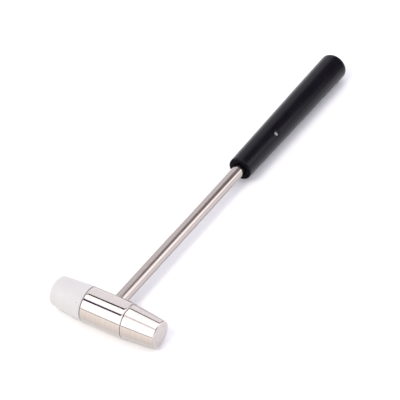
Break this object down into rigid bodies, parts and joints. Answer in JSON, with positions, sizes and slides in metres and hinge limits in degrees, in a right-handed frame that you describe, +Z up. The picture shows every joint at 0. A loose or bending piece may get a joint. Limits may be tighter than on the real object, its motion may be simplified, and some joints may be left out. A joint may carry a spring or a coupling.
{
  "type": "two-faced tapping hammer",
  "caption": "Small hammer with a polished steel head, one steel and one tapered nylon face that screw off, a thin round steel rod and a slim black grip.",
  "frame": {"origin": "bottom centre of the hammer's box as it lies on its side, on the surface that it lies on", "axes": "+X along the head from the nylon face to the steel face, +Y along the rod from the head to the grip, +Z up"},
  "size_m": [0.047, 0.18, 0.014],
  "materials": {
    "polished_nickel": "polished nickel plate on steel, the striking disc satin",
    "screw_steel": "plain turned steel",
    "white_nylon": "milky white, satin",
    "black_plastic": "black, satin, very fine moulded grain",
    "pin_steel": "bright steel, domed ends"
  },
  "bodies": {
    "barrel_and_handle": {"head_barrel": "polished_nickel", "shaft_rod": "polished_nickel", "handle_grip": "black_plastic", "grip_pin": "pin_steel"},
    "steel_stud": {"steel_face_stud": "screw_steel"},
    "steel_head_face": {"steel_face": "polished_nickel"},
    "nylon_stud": {"nylon_face_stud": "screw_steel"},
    "nylon_head_face": {"nylon_face": "white_nylon"}
  },
  "joints": [
    {"name": "steel_stud_travel", "type": "slide", "parent": "barrel_and_handle", "child": "steel_stud", "axis": [1, 0, 0], "range_m": [0, 0.006]},
    {"name": "steel_face_turn", "type": "hinge", "parent": "steel_stud", "child": "steel_head_face", "pos_m": [0.0005, -0.083, 0.007], "axis": [1, 0, 0], "range_deg": [0, 2160]},
    {"name": "nylon_stud_travel", "type": "slide", "parent": "barrel_and_handle", "child": "nylon_stud", "axis": [-1, 0, 0], "range_m": [0, 0.006]},
    {"name": "nylon_face_turn", "type": "hinge", "parent": "nylon_stud", "child": "nylon_head_face", "pos_m": [0.0005, -0.083, 0.007], "axis": [-1, 0, 0], "range_deg": [0, 2160]}
  ],
  "couplings": [
    {"joint": "steel_face_turn", "follows": "steel_stud_travel", "rad_per_m": 6283.2},
    {"joint": "nylon_face_turn", "follows": "nylon_stud_travel", "rad_per_m": 6283.2}
  ]
}
